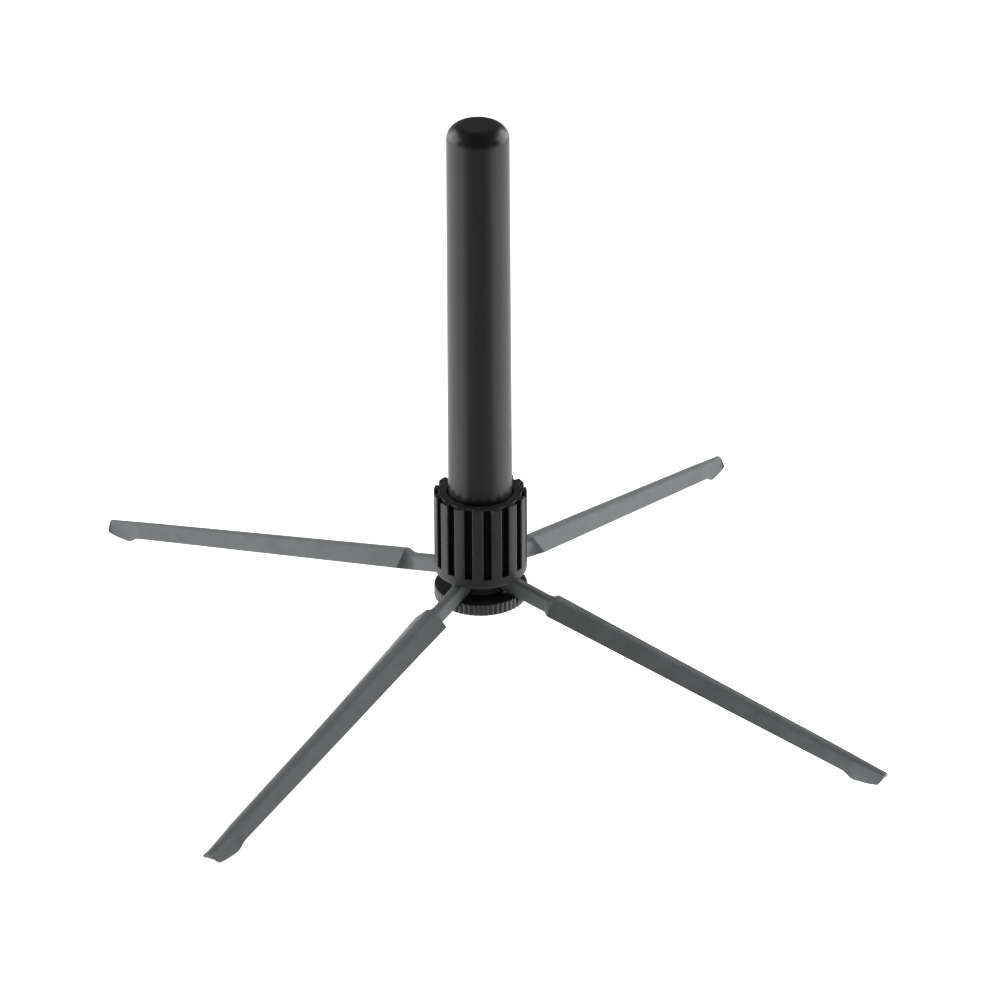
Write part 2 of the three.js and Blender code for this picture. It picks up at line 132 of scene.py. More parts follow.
# %% Turn points and faces into a piece
def piece(name, shells, body, node, edge=None):
    """One smooth-shaded object from closed shells [(points, faces), ...], in the node's place."""
    points, faces, start = [], [], 0
    for shell_points, shell_faces in shells:
        points.append(shell_points)
        faces += [[start + i for i in face] for face in shell_faces]
        start += len(shell_points)
    points = np.vstack(points)
    mesh = bpy.data.meshes.new(name)
    mesh.from_pydata(points.tolist(), [], faces)
    mesh.polygons.foreach_set("use_smooth", np.ones(len(faces), dtype=bool))
    # The stored edge mark is wear where it is above zero and painted shade where it is below zero, in the
    # collar's grooves.
    wear = np.zeros(len(points)) if edge is None else np.pad(edge, (0, len(points) - len(edge)))
    mesh.attributes.new("edge", "FLOAT", "POINT").data.foreach_set("value", wear.astype(np.float32))
    mesh.update()
    made = bpy.data.objects.new(name, mesh)
    bpy.context.scene.collection.objects.link(made)
    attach(made, body)
    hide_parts(node)
    print(name, len(points), "points", "from", points.min(axis=0).round(4), "to", points.max(axis=0).round(4))
    return made


# %% Round the corners of a profile
SUPPORT = 0.06 * MM


def rounded(corners, steps=6):
    """A profile through (r, z, radius) corners, each rounded by an arc that is tangent to both sides.

    The arc starts and ends at radius * tan(turn / 2) from the corner. A point just before and one
    just after it keep the flats beside it flat when the shading is smoothed. Returns the points and
    a mark from 0 to 1 that says how much of an edge each one is.
    """
    corners = np.array(corners, dtype=float)
    points, marks = [], []
    for i, (r, z, radius) in enumerate(corners):
        here = np.array([r, z])
        if radius == 0 or i in (0, len(corners) - 1):
            points.append(here[None])
            marks.append([0.0])
            continue
        to_last = corners[i - 1, :2] - here
        to_next = corners[i + 1, :2] - here
        room = 0.49 * min(np.linalg.norm(to_last), np.linalg.norm(to_next))
        to_last /= np.linalg.norm(to_last)
        to_next /= np.linalg.norm(to_next)
        half = math.acos(np.clip(to_last @ to_next, -1, 1)) / 2
        setback = min(radius / math.tan(half), room)
        arc = setback * math.tan(half)
        centre = here + (to_last + to_next) / np.linalg.norm(to_last + to_next) * arc / math.sin(half)
        start, end = here + to_last * setback, here + to_next * setback
        a0 = math.atan2(*(start - centre)[::-1])
        sweep = (math.atan2(*(end - centre)[::-1]) - a0 + math.pi) % TURN - math.pi
        angles = a0 + sweep * np.linspace(0, 1, steps + 1)
        bend = centre + arc * np.column_stack([np.cos(angles), np.sin(angles)])
        support = min(SUPPORT, 0.5 * (room - setback) + 0.001 * MM)
        points.append(np.vstack([start + to_last * support, bend, end + to_next * support]))
        marks.append([0.0] + [1.0] * (steps + 1) + [0.0])
    return np.vstack(points), np.concatenate(marks)


def turned(profile, columns=192):
    """Rings of a solid of revolution: (r cos t, r sin t, z) for every (r, z) and angle t."""
    t = np.arange(columns) * TURN / columns
    r, z = profile[:, :1], profile[:, 1:]
    return np.stack([r * np.cos(t), r * np.sin(t), z + 0 * t], axis=-1)


# %% [markdown]
# ## Finishes
# Black plastic is never one flat black. A moulded tube carries faint upright draw marks, a
# moulded grip has a fine grain, and handling polishes the edges. Painted steel has the soft
# ripple of powder coat, and it goes a little lighter where an edge is rubbed. Each finish is a
# small node tree: noise on Object coordinates, stretched where marks have a direction, drives
# colour, roughness and bump together, and the stored edge mark adds the wear. A negative mark
# is painted shade: it makes a groove darker and more matt than its lighting alone would.

# %% A finish made of nodes
NOISE_LOW, NOISE_HIGH = 0.3, 0.7
WEAR_PATCH_SCALE = 900.0
PAINTED_GROOVE_SHADE = 0.85


def node(tree, kind, inputs=None, **settings):
    made = tree.nodes.new(kind)
    for key, value in settings.items():
        setattr(made, key, value)
    for key, value in (inputs or {}).items():
        if isinstance(value, bpy.types.NodeSocket):
            tree.links.new(value, made.inputs[key])
        else:
            made.inputs[key].default_value = value
    return made


def noise(tree, place, stretch, scale, detail=4.0):
    """Noise on Object coordinates. stretch is how fast it changes along x, y and z."""
    mapping = node(tree, "ShaderNodeMapping", {"Vector": place, "Scale": stretch})
    made = node(tree, "ShaderNodeTexNoise", {"Vector": mapping.outputs[0], "Scale": scale, "Detail": detail})
    return made.outputs["Fac"]


def ramped(tree, value, dark, light):
    """A colour between dark and light, spread over the middle of the noise's range."""
    ramp = node(tree, "ShaderNodeValToRGB", {"Fac": value})
    ramp.color_ramp.elements[0].position = NOISE_LOW
    ramp.color_ramp.elements[1].position = NOISE_HIGH
    ramp.color_ramp.elements[0].color = (*dark, 1)
    ramp.color_ramp.elements[1].color = (*light, 1)
    return ramp.outputs["Color"]


def spread(tree, value, bottom, top):
    """The middle of the noise's range stretched to bottom..top."""
    inputs = {"Value": value, "From Min": NOISE_LOW, "From Max": NOISE_HIGH, "To Min": bottom, "To Max": top}
    return node(tree, "ShaderNodeMapRange", inputs).outputs[0]


def blended(tree, share, under, over):
    """under with a share of over on top of it."""
    return node(tree, "ShaderNodeMix", {0: share, 6: under, 7: over}, data_type="RGBA").outputs[2]


def finish(name, dark, light, worn, rough, grain, broad, bump, metal=0.0, wear=0.5, gloss=0.5):
    """A material. grain and broad are (stretch, scale) of the fine and the wide noise.

    The stored edge mark is 1 on an edge, which is rubbed, and -1 deep in a groove, where it is
    painted shade: the colour goes towards black and the shine goes away.
    """
    material = bpy.data.materials.new(name)
    material.use_nodes = True
    tree = material.node_tree
    shader = tree.nodes["Principled BSDF"]
    place = node(tree, "ShaderNodeTexCoord").outputs["Object"]
    fine = noise(tree, place, *grain)
    wide = noise(tree, place, *broad, detail=6.0)
    patch = noise(tree, place, (1, 1, 1), WEAR_PATCH_SCALE)
    edge = node(tree, "ShaderNodeAttribute", attribute_name="edge").outputs["Fac"]
    rubbed = node(tree, "ShaderNodeMath", {0: edge, 1: spread(tree, patch, 0, wear)}, operation="MULTIPLY")
    colour = blended(tree, rubbed.outputs[0], ramped(tree, wide, dark, light), (*worn, 1))
    # Painted shade: where the edge mark is below zero, deep in the collar's grooves, the colour is blended
    # towards black and the shine is taken away.
    inputs = {"Value": edge, "From Min": 0.0, "From Max": -1.0, "To Min": 0.0, "To Max": PAINTED_GROOVE_SHADE}
    hollow = node(tree, "ShaderNodeMapRange", inputs).outputs[0]
    tree.links.new(blended(tree, hollow, colour, (0.0, 0.0, 0.0, 1)), shader.inputs["Base Color"])
    inputs = {"Value": hollow, "To Min": gloss, "To Max": 0.0}
    shine = node(tree, "ShaderNodeMapRange", inputs).outputs[0]
    tree.links.new(shine, shader.inputs["Specular IOR Level"])
    both = node(tree, "ShaderNodeMath", {0: fine, 1: wide}, operation="ADD")
    half = node(tree, "ShaderNodeMath", {0: both.outputs[0], 1: 0.5}, operation="MULTIPLY")
    tree.links.new(spread(tree, half.outputs[0], *rough), shader.inputs["Roughness"])
    strength, distance = bump
    raised = node(tree, "ShaderNodeBump", {"Height": fine, "Strength": strength, "Distance": distance})
    tree.links.new(raised.outputs[0], shader.inputs["Normal"])
    shader.inputs["Metallic"].default_value = metal
    return material


# %% The four finishes
UPRIGHT = (1.0, 1.0, 0.02)
EVEN = (1.0, 1.0, 1.0)
PEG_PLASTIC = finish(
    "peg_plastic_satin", (0.003, 0.0034, 0.0037), (0.006, 0.0066, 0.007), (0.015, 0.016, 0.017),
    rough=(0.28, 0.36), grain=(UPRIGHT, 1500.0), broad=(UPRIGHT, 260.0), bump=(0.25, 0.05 * MM), gloss=0.20)
COLLAR_PLASTIC = finish(
    "collar_plastic_moulded", (0.010, 0.0105, 0.0105), (0.017, 0.018, 0.018), (0.05, 0.052, 0.052),
    rough=(0.42, 0.55), grain=(EVEN, 3200.0), broad=((1.0, 1.0, 0.15), 420.0), bump=(0.30, 0.04 * MM),
    gloss=0.17)
HUB_PLASTIC = finish(
    "hub_plastic_moulded", (0.008, 0.0085, 0.0085), (0.014, 0.015, 0.0155), (0.04, 0.042, 0.043),
    rough=(0.34, 0.46), grain=(EVEN, 2600.0), broad=(EVEN, 300.0), bump=(0.25, 0.04 * MM), gloss=0.3)
LEG_PAINT = finish(
    "leg_powder_coat", (0.100, 0.106, 0.108), (0.122, 0.129, 0.131), (0.20, 0.21, 0.21),
    rough=(0.56, 0.66), grain=(EVEN, 1700.0), broad=(EVEN, 140.0), bump=(0.35, 0.05 * MM), gloss=0.12)
STEEL = finish(
    "zinc_steel", (0.42, 0.42, 0.43), (0.60, 0.60, 0.61), (0.75, 0.75, 0.76),
    rough=(0.22, 0.38), grain=(EVEN, 2400.0), broad=(EVEN, 500.0), bump=(0.2, 0.02 * MM), metal=1.0)
print("finishes:", [m.name for m in bpy.data.materials])

# %% [markdown]
# ## Peg
# The peg is a thin moulded tube with a closed, rounded top and a flange at its foot, which the
# collar holds. It is drawn in the mould lengthways, so it tapers a little. A turned profile
# that goes up the outside, over the top and down inside gives both walls at once.

# %% Peg
PEG_WALL = 1.2 * MM
PEG_TAPER = 0.6 * MM
PEG_BASE_RADIUS = 12.4 * MM
PEG_CROWN_ROUND = 6.4 * MM
PEG_CROWN_WALL = 2.2 * MM
FLANGE_THICKNESS = 2.4 * MM
POLE = 0.02 * MM
PEG_COLUMNS = 256
SMALL_EDGE = 0.3 * MM


def peg_profile():
    """Flange, tapered side and rounded crown outside, then the same a wall's thickness in."""
    foot, top = low("peg_tube")[2], high("peg_tube")[2]
    flange = high("peg_tube")[0]
    side = PEG_BASE_RADIUS - PEG_TAPER
    bore, ceiling = PEG_BASE_RADIUS - PEG_WALL, top - PEG_CROWN_WALL
    inner_side = side - PEG_WALL
    inner_round = PEG_CROWN_ROUND - PEG_CROWN_WALL
    return rounded([
        (POLE, ceiling, 0),
        (inner_side, ceiling, inner_round),
        (bore, foot, SMALL_EDGE),
        (flange, foot, SMALL_EDGE),
        (flange, foot + FLANGE_THICKNESS, SMALL_EDGE),
        (PEG_BASE_RADIUS, foot + FLANGE_THICKNESS, 0.25 * MM),
        (side, top, PEG_CROWN_ROUND),
        (POLE, top, 0),
    ], steps=16)


profile, marks = peg_profile()
rings = turned(profile, PEG_COLUMNS)
edge_marks = 0.2 * np.repeat(marks, PEG_COLUMNS)
peg = piece("peg_surface", [skin(rings)], "peg", "peg_tube", edge_marks)
peg.data.materials.append(PEG_PLASTIC)

# %% [markdown]
# ## Ribbed collar
# The collar is a grip as well as a nut. Its grooves have parallel walls and a flat floor, they
# are open at the top, and they stop on a plain band above the rounded lower edge. A boolean cut
# would leave sharp corners, so the surface is drawn as rings instead. Each ring is the grooved
# outline, the plain circle, or a blend of the two, and the blend makes the ledge where the
# grooves stop.

# %% Grooved outline
GROOVES = 15
GROOVE_WIDTH = 3.05 * MM
GROOVE_DEPTH = 2.0 * MM
GROOVE_STOP = 4.1 * MM
GROOVE_CORNER = 0.45 * MM
COLLAR_RADIUS = high("ribbed_collar")[0]


def groove_sector():
    """Half-width by half-width outline of one groove and half a rib to each side, as (x, y)."""
    wall = GROOVE_WIDTH / 2
    floor = COLLAR_RADIUS - GROOVE_DEPTH
    mouth = math.sqrt(COLLAR_RADIUS ** 2 - wall ** 2)
    rib = np.linspace(TURN / GROOVES / 2, math.asin((wall + 2.2 * GROOVE_CORNER) / COLLAR_RADIUS), 6)
    shoulder = [(COLLAR_RADIUS * math.cos(a), COLLAR_RADIUS * math.sin(a), 0) for a in rib[1:]]
    corners = shoulder + [(mouth, wall, GROOVE_CORNER), (floor, wall, 0.4 * GROOVE_CORNER), (floor, 0, 0)]
    half, half_marks = rounded(corners, steps=4)
    return half, half_marks


def mirrored_sector(half, half_marks):
    """The half sector, then its mirror image, without the middle point twice."""
    mirror = half[-2::-1] * [1, -1]
    return np.vstack([half, mirror])[::-1], np.concatenate([half_marks, half_marks[-2::-1]])[::-1]


def around(sector, count):
    """A sector outline repeated about the axis, count times, as one closed outline."""
    radius = np.hypot(sector[:, 0], sector[:, 1])
    angle = np.arctan2(sector[:, 1], sector[:, 0])
    turns = np.arange(count)[:, None] * TURN / count + angle
    return np.column_stack([(radius * np.cos(turns)).ravel(), (radius * np.sin(turns)).ravel()])


def inward(outline, distance):
    """The outline moved in by a distance along its own normals, worked out from its neighbours."""
    along = np.roll(outline, -1, axis=0) - np.roll(outline, 1, axis=0)
    along /= np.linalg.norm(along, axis=1)[:, None]
    return outline + distance * np.column_stack([-along[:, 1], along[:, 0]])


sector, sector_marks = mirrored_sector(*groove_sector())
ribbed = around(sector, GROOVES)
even = np.linspace(-0.5, 0.5, len(sector), endpoint=False) + 0.5 / len(sector)
plain_angles = ((np.arange(GROOVES)[:, None] + even) * TURN / GROOVES).ravel()
print("collar outline:", len(ribbed), "points")

# %% Collar
COLLAR_ROUND = 1.6 * MM
COLLAR_TOP_EDGE = 0.35 * MM
COLLAR_THROAT = 2.2 * MM
LEDGE_ROUND = 0.35 * MM
FLANGE_STEP = 1.25 * MM


def ledge(level):
    """(groove share, height) pairs from the grooved side, over the ledge, to the plain band."""
    quarter = np.linspace(0, math.pi / 2, 6)
    share = LEDGE_ROUND / GROOVE_DEPTH
    hollow = np.column_stack([1 - share * (1 - np.cos(quarter)), level + LEDGE_ROUND * (1 - np.sin(quarter))])
    edge = np.column_stack([share * (1 - np.sin(quarter)), level - LEDGE_ROUND * (1 - np.cos(quarter))])
    return np.vstack([hollow, edge - [0, 0.04 * MM]])


def collar_rings():
    """Rings that go down the outside, in under the lip, up the bore and out over the top."""
    bottom, top = low("ribbed_collar")[2], high("ribbed_collar")[2]
    hole = PEG_BASE_RADIUS + GAP
    bore = PEG_BASE_RADIUS + FLANGE_STEP + GAP
    shoulder = low("peg_tube")[2] + FLANGE_THICKNESS + GAP
    circle = np.column_stack([np.cos(plain_angles), np.sin(plain_angles)])
    rows, marks = [], []

    def add(outline, height, mark):
        rows.append(np.column_stack([outline, np.full(len(outline), height)]))
        marks.append(np.broadcast_to(mark, len(outline)))

    depth = (COLLAR_RADIUS - np.hypot(*ribbed.T)) / GROOVE_DEPTH
    # Painted shade: the mark goes below zero as a groove gets deep, so its floor and walls are painted darker
    # and more matt; on the ribs' rounded edges it is wear.
    outline_marks = np.tile(sector_marks, GROOVES) * (depth < 0.3) - np.clip(1.4 * depth - 0.3, 0, 1)
    rim_edge = np.linspace(math.pi / 2, 0, 6)
    add(hole * circle, top, 0.0)
    for share in (0.08, 0.5, 0.92):
        inner = inward(ribbed, COLLAR_TOP_EDGE + 0.1 * MM)
        add((1 - share) * hole * circle + share * inner, top, 0.0)
    for angle in rim_edge:
        offset = COLLAR_TOP_EDGE * (1 - math.cos(angle))
        add(inward(ribbed, offset), top - COLLAR_TOP_EDGE * (1 - math.sin(angle)), 1.0)
    add(ribbed, top - COLLAR_TOP_EDGE - 0.1 * MM, outline_marks)
    stop = bottom + GROOVE_STOP
    for height in np.linspace(top - 2 * COLLAR_TOP_EDGE, stop + 2 * LEDGE_ROUND, 8):
        add(ribbed, height, outline_marks)
    for share, height in ledge(stop):
        add(share * ribbed + (1 - share) * COLLAR_RADIUS * circle, height, outline_marks * share)
    low_profile, low_marks = rounded([
        (COLLAR_RADIUS, stop - 2 * LEDGE_ROUND, 0),
        (COLLAR_RADIUS, bottom, COLLAR_ROUND),
        (bore + COLLAR_THROAT, bottom, 0.2 * MM),
        (bore, bottom + COLLAR_THROAT, 0.2 * MM),
        (bore, shoulder, 0.2 * MM),
        (hole, shoulder, 0.2 * MM),
        (hole, top - 0.3 * MM, 0),
    ], steps=8)
    for (radius, height), mark in zip(low_profile, low_marks):
        add(radius * circle, height, 0.4 * mark)
    return np.array(rows), np.array(marks).ravel()


rings, marks = collar_rings()
shell = skin(rings, closed_path=True)
collar = piece("collar_surface", [shell], "collar", "ribbed_collar", marks)
collar.data.materials.append(COLLAR_PLASTIC)

# %% [markdown]
# ## Slotted outline
# The disc's neck and the core above it are both cut by four slots, in which the legs' hinge
# ends lie. Seen from above, the outline is a circle with four parallel-sided slots that nearly
# reach the middle. One outline serves both pieces at any radius, so it is a function of it.

# %% Slotted outline
SLOT_HALF_WIDTH = 3.9 / 2 * MM + GAP
SLOT_INNER_RADIUS = 3.51 * MM
SLOT_CORNER = 0.25 * MM


def slotted(radius, arc_steps=28, corner=SLOT_CORNER):
    """Closed outline: half a slot's end, its wall, a quarter of the circle and the next wall."""
    mouth = math.sqrt(radius ** 2 - SLOT_HALF_WIDTH ** 2)
    edge_angle = math.asin(SLOT_HALF_WIDTH / radius)
    pad = 3 * corner / radius
    sweep = np.linspace(edge_angle + pad, TURN / len(LEGS) - edge_angle - pad, arc_steps)
    start = [(SLOT_INNER_RADIUS, 0, 0), (SLOT_INNER_RADIUS, SLOT_HALF_WIDTH, corner)]
    wall = [(mouth, SLOT_HALF_WIDTH, corner)]
    arc = [(radius * math.cos(a), radius * math.sin(a), 0) for a in sweep]
    other = [(SLOT_HALF_WIDTH, mouth, corner), (SLOT_HALF_WIDTH, SLOT_INNER_RADIUS, corner)]
    quarter, quarter_marks = rounded(start + wall + arc + other + [(0, SLOT_INNER_RADIUS, 0)], steps=3)
    outline = around(quarter[:-1], len(LEGS))
    return outline, np.tile(quarter_marks[:-1], len(LEGS))


outline, _ = slotted(13 * MM)
print("slotted outline:", len(outline), "points")

# %% [markdown]
# ## Disc
# The disc has a finely ribbed rim to hold while the collar is turned, four shallow seats for
# the legs, and a slotted neck. The rim's ribs are a smooth wave on the radius, faded out at
# both edges by the bevel. A seat is the top face pushed down wherever a leg passes over it.

# %% Disc
DISC_RIBS = 54
DISC_RIB_DEPTH = 0.45 * MM
DISC_THICKNESS = 4.9 * MM
DISC_EDGE = 0.5 * MM
SEAT_DEPTH = 0.8 * MM
SEAT_START = 11.0 * MM
SEAT_SOFTNESS = 0.2 * MM
NECK_RADIUS = 10.4 * MM
NECK_FILLET = 1.2 * MM
WASHER_TOP = high("screw_washer")[2]
RECESS_RADIUS = high("screw_washer")[0] + GAP
RIM_COLUMNS = 12 * DISC_RIBS


def rim_radius(angles, radius, depth):
    """radius less depth times a rounded flute, |sin|-shaped so that the ribs stand proud."""
    wave = np.abs(np.sin(angles * DISC_RIBS / 2))
    return radius - depth * (1 - wave ** 0.7)


def seat_share(x, y):
    """1 inside the four seats and 0 outside: near either axis line, and far enough out along it."""
    across, along = np.minimum(abs(x), abs(y)), np.maximum(abs(x), abs(y))
    within = np.clip((SLOT_HALF_WIDTH - across) / SEAT_SOFTNESS + 0.5, 0, 1)
    return within * np.clip((along - SEAT_START) / SEAT_SOFTNESS, 0, 1)


def disc_rings():
    """Rings from the ceiling of the screw's recess, out under the disc, up the rim and in on top."""
    bottom = low("base_disc")[2]
    top = bottom + DISC_THICKNESS
    radius = high("base_disc")[0]
    profile, marks = rounded([
        (POLE, WASHER_TOP + GAP, 0),
        (RECESS_RADIUS, WASHER_TOP + GAP, 0.2 * MM),
        (RECESS_RADIUS, bottom, 0.3 * MM),
        (radius, bottom, DISC_EDGE),
        (radius, top, DISC_EDGE),
        *[(r, top, 0) for r in np.linspace(radius - 2 * DISC_EDGE, SEAT_START - 2 * SEAT_SOFTNESS, 16)],
        (POLE, top, 0),
    ], steps=6)
    angles = np.arange(RIM_COLUMNS) * TURN / RIM_COLUMNS
    r, z = profile[:, :1], profile[:, 1:]
    fade = np.clip((r - (radius - 1.6 * DISC_EDGE)) / (1.6 * DISC_EDGE), 0, 1) ** 2
    r = r - fade * (radius - rim_radius(angles, radius, DISC_RIB_DEPTH))
    ribs = 1 - np.abs(2 * ((angles * DISC_RIBS / TURN) % 1) - 1)
    crest = fade * np.clip(3 * ribs - 2, 0, 1)
    x, y = r * np.cos(angles), r * np.sin(angles)
    z = np.where(z > (bottom + top) / 2, np.minimum(z, top - SEAT_DEPTH * seat_share(x, y)), z)
    rings = np.stack([x, y, z], axis=-1)
    return rings, np.clip(0.6 * marks[:, None] * fade + 0.7 * crest, 0, 1).ravel(), top


def neck_rings(top_of_disc):
    """The slotted neck, flared by a fillet where it stands on the disc, bevelled at its top."""
    height = PIVOT_HEIGHT - GAP / 2
    radius = NECK_RADIUS
    rows, marks = [], []
    angles = np.linspace(0, math.pi / 2, 7)
    for a in angles:
        ring, ring_marks = slotted(radius + NECK_FILLET * (1 - math.sin(a)))
        level = top_of_disc + NECK_FILLET * (1 - math.cos(a))
        rows.append(np.column_stack([ring, np.full(len(ring), level)]))
        marks.append(0 * ring_marks)
    ring, ring_marks = slotted(radius)
    for a in np.linspace(0, math.pi / 2, 5):
        moved = inward(ring, 0.25 * MM * (1 - math.cos(a)))
        rows.append(np.column_stack([moved, np.full(len(ring), height - 0.25 * MM * (1 - math.sin(a)))]))
        marks.append(0.5 * ring_marks)
    return np.array(rows), np.concatenate(marks)


rings, marks, disc_top = disc_rings()
neck, neck_marks = neck_rings(disc_top - 0.02 * MM)
disc_skin, neck_skin = skin(rings), skin(neck, fans=False)
marks = np.concatenate([np.pad(marks, (0, len(disc_skin[0]) - len(marks))), neck_marks])
disc = piece("disc_surface", [disc_skin, neck_skin], "base", "base_disc", marks)
disc.data.materials.append(HUB_PLASTIC)

# %% [markdown]
# ## Threaded core
# Four posts about a middle column carry the collar's thread, and the folded legs stand in the
# slots between them. A real thread is a helix, so the radius is a wave that climbs by one pitch
# for each turn, and it fades out at both ends as a moulded thread does.

# %% Core
THREAD_PITCH = 2.0 * MM
THREAD_DEPTH = 0.75 * MM
THREAD_START = 2.4 * MM
CORE_STEPS_PER_PITCH = 10


def core_rings():
    """Slotted outlines whose outer arc follows crest - depth * wave(height / pitch - angle)."""
    bottom, top = low("threaded_core")[2], high("threaded_core")[2]
    crest = high("threaded_core")[0]
    root, start = NECK_RADIUS, bottom + THREAD_START
    thread = np.arange(start + 0.3 * MM, top - 0.6 * MM, THREAD_PITCH / CORE_STEPS_PER_PITCH)
    heights = [bottom, bottom + 0.25 * MM, start - 0.3 * MM, start, *thread, top - 0.3 * MM, top]
    radii = [root - 0.25 * MM, root, root, crest - 1.0 * MM, *[crest] * len(thread)]
    radii += [crest - 0.4 * MM, crest - 0.8 * MM]
    rows, marks = [], []
    for height, radius in zip(heights, radii):
        ring, ring_marks = slotted(radius)
        r, angle = np.hypot(*ring.T), np.arctan2(ring[:, 1], ring[:, 0])
        phase = TURN * (height / THREAD_PITCH) - angle
        fade = np.clip(min(height - start, top - height) / (1.2 * MM), 0, 1)
        on_arc = np.clip((r - 0.9 * radius) / (0.08 * radius), 0, 1)
        cut = THREAD_DEPTH * fade * on_arc * (0.5 - 0.5 * np.cos(phase)) ** 0.8
        rows.append(np.column_stack([ring * (1 - cut / r)[:, None], np.full(len(ring), height)]))
        marks.append(np.clip(ring_marks + fade * on_arc * (0.5 + 0.5 * np.cos(phase)) ** 4, 0, 1))
    return np.array(rows), np.concatenate(marks)


rings, marks = core_rings()
core = piece("core_surface", [skin(rings, fans=False)], "base", "threaded_core", marks)
core.data.materials.append(HUB_PLASTIC)

# %% [markdown]
# ## Legs
# Each leg is one strip of sheet steel, pressed into a channel. It is narrow and upright at the
# hinge, opens out at a shoulder, tapers along its length, and turns down into a foot with flat
# soles. The section changes all the way along, so it is worked out for every station at once:
# crown, wings and bends are arrays over the stations, and the outline is the outer skin, the
# rounded lower edges, and the inner skin one sheet's thickness in. The hole for the hinge pin
# is the one real cut, because a punched hole in sheet has a sharp rim and a skin can't have holes.

# %% Section of the channel along the leg
SHEET = 1.1 * MM
TIP_CROWN_HEIGHT = 4.6 * MM
SHOULDER_STEP = 1.7 * MM
SHOULDER_LENGTH = 4.0 * MM
STEP_LENGTH = 1.8 * MM
SHOULDER_CLEARANCE = 1.1 * MM
CORE_LENGTH = high("threaded_core")[2] - low("threaded_core")[2]
SHOULDER_RADIUS = PIVOT_RADIUS + CORE_LENGTH + SHOULDER_CLEARANCE + SHOULDER_LENGTH
NARROW_WIDTH = 3.9 * MM
NARROW_DEPTH = 6.6 * MM
NARROW_BEND, OPEN_BEND = 1.3 * MM, 2.6 * MM
CROWN_WIDTH, TIP_CROWN_WIDTH = 3.5 * MM, 2.2 * MM
FOLDED_GAP = 0.3 * MM
FOLDED_CROWN_RADIUS = 2.2 * MM
WING_HALF = high("leg_1")[1]
WING_DEPTH = WING_HALF + FOLDED_GAP - FOLDED_CROWN_RADIUS
ANKLE_HALF = 0.63 * WING_HALF
TIP_HALF = 0.8 * ANKLE_HALF
HEEL_END = LEG_REACH - 11.2 * MM
ANKLE = HEEL_END - 5.6 * MM
TOE_LENGTH, TOE_LIFT, TOE_ROUND = 7.0 * MM, 0.6 * MM, 1.0 * MM
TIP_LEAN = 0.35
RIM_CROWN = low("base_disc")[2] + DISC_THICKNESS - SEAT_DEPTH + GAP + NARROW_DEPTH + SHOULDER_STEP
SLOPE = (RIM_CROWN - TIP_CROWN_HEIGHT) / (LEG_REACH - high("base_disc")[0])
ROOT_RADIUS = NARROW_DEPTH / 2 * math.cos(math.atan(SLOPE))


def ramp(x, start, end, corner=0.0):
    """0 before start, 1 after end and a straight ramp between, its corners rounded by an average."""
    t = (x - start) / (end - start)
    if corner == 0:
        t = np.clip(t, 0, 1)
        return t * t * (3 - 2 * t)

    def area(v):
        return np.where(v < 0, 0, np.where(v > 1, v - 0.5, v * v / 2))

    return (area(t + corner) - area(t - corner)) / (2 * corner)


def channel(x):
    """Crown height, lower edge height, half widths and bend radius for each distance x."""
    opened = ramp(x, SHOULDER_RADIUS - SHOULDER_LENGTH, SHOULDER_RADIUS, corner=0.10)
    risen = ramp(x, SHOULDER_RADIUS - STEP_LENGTH, SHOULDER_RADIUS, corner=0.25)
    along = np.clip((x - SHOULDER_RADIUS) / (ANKLE - SHOULDER_RADIUS), 0, 1)
    foot, tip = ramp(x, ANKLE, HEEL_END), ramp(x, ANKLE, LEG_REACH)
    straight = TIP_CROWN_HEIGHT + (LEG_REACH - x) * SLOPE
    crown = straight - SHOULDER_STEP * (1 - risen)
    narrow_edge = straight - SHOULDER_STEP - NARROW_DEPTH
    wing_edge = straight - WING_DEPTH
    into_corner = np.clip(x - (LEG_REACH - TOE_ROUND), 0, TOE_ROUND)
    sole = TOE_LIFT * np.clip((x - LEG_REACH + TOE_LENGTH) / TOE_LENGTH, 0, 1) ** 2
    sole = sole + TOE_ROUND - np.sqrt(TOE_ROUND ** 2 - into_corner ** 2)
    edge = narrow_edge + (wing_edge - narrow_edge) * opened
    edge = edge + (sole - edge) * foot
    wing_half = WING_HALF + (ANKLE_HALF - WING_HALF) * along
    edge_half = NARROW_WIDTH / 2 + (wing_half - NARROW_WIDTH / 2) * opened
    edge_half = edge_half + (TIP_HALF - edge_half) * tip
    open_crown = (CROWN_WIDTH + (TIP_CROWN_WIDTH - CROWN_WIDTH) * tip) / 2
    crown_half = NARROW_WIDTH / 2 + (open_crown - NARROW_WIDTH / 2) * risen
    bend = NARROW_BEND + (OPEN_BEND - NARROW_BEND) * risen
    arch = np.sqrt(np.maximum(ROOT_RADIUS ** 2 - np.clip(PIVOT_RADIUS - x, 0, None) ** 2, 0))
    at_root = x < PIVOT_RADIUS
    crown = np.where(at_root, np.minimum(crown, PIVOT_HEIGHT + arch), crown)
    edge = np.where(at_root, np.maximum(edge, PIVOT_HEIGHT - arch), edge)
    return crown, edge, crown_half, edge_half, bend


# %% Rings of the channel
BEND_STEPS = 8
EDGE_ROUND = 0.3 * MM


def corner_curve(before, corner, after, steps=4):
    """Quadratic curve (1-t)^2 a + 2t(1-t) c + t^2 b round each station's corner."""
    t = np.linspace(0, 1, steps + 1)[None, :, None]
    a, c, b = before[:, None], corner[:, None], after[:, None]
    return (1 - t) ** 2 * a + 2 * t * (1 - t) * c + t ** 2 * b


